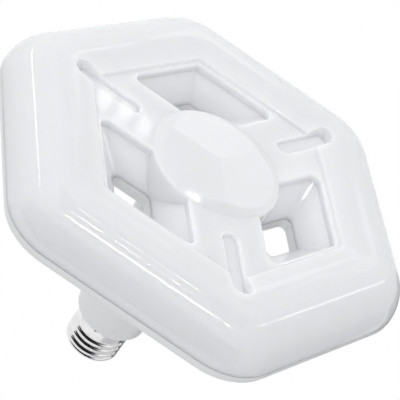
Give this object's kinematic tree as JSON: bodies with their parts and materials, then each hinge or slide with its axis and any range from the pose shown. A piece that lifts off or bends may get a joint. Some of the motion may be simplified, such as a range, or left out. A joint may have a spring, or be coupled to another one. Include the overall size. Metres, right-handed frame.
{
  "type": "screw-cap led lamp",
  "caption": "Screw-cap LED lamp with a flat six-sided moulded diffuser, rhombic through-holes between its arms and a slim round neck.",
  "frame": {"origin": "on the lamp's axis, at the shoulder where the cap's metal shell meets the plastic collar", "axes": "+Z along the cap's axis, out through the centre contact; the diffuser faces -Z; +Y towards one of the diffuser's three arms"},
  "size_m": [0.1732, 0.1912, 0.1347],
  "materials": {
    "diffuser_plastic": "opal moulded plastic with a satin gloss",
    "housing_plastic": "white moulded plastic, satin",
    "cap_metal": "nickel-plated sheet, rolled thread",
    "contact_metal": "plated contact",
    "insulator": "dark moulded insulator",
    "board_aluminium": "aluminium board with white solder mask",
    "led_body": "white package",
    "led_phosphor": "yellow phosphor",
    "screw_steel": "zinc-plated steel",
    "driver_board": "glass-epoxy board with green mask",
    "can_sleeve": "dark shrink sleeve",
    "chip_plastic": "black moulding compound",
    "varistor_coat": "blue epoxy coat",
    "film_cap_case": "yellow case",
    "resistor_coat": "green enamel coat",
    "ferrite": "dark ferrite core and winding",
    "connector_plastic": "off-white connector plastic",
    "wire_red": "red insulation",
    "wire_black": "black insulation",
    "wire_white": "white insulation"
  },
  "bodies": {
    "root": {"diffuser": "diffuser_plastic", "rear_housing": "housing_plastic", "driver_housing": "housing_plastic", "led_board": "board_aluminium", "led_packages": "led_body", "led_phosphors": "led_phosphor", "board_screws": "screw_steel", "board_connector": "connector_plastic", "connector_plug": "connector_plastic", "driver_pcb": "driver_board", "bridge_rectifier": "chip_plastic", "fuse_resistor": "resistor_coat", "varistor": "varistor_coat", "input_film_cap": "film_cap_case", "electrolytic_cap": "can_sleeve", "output_cap": "can_sleeve", "power_inductor": "ferrite", "driver_ic": "chip_plastic", "sense_resistors": "chip_plastic", "freewheel_diode": "chip_plastic", "live_wire": "wire_red", "neutral_wire": "wire_white", "led_wire_positive": "wire_red", "led_wire_negative": "wire_black", "screw_shell": "cap_metal", "cap_insulator": "insulator", "centre_contact": "contact_metal"}
  },
  "joints": []
}
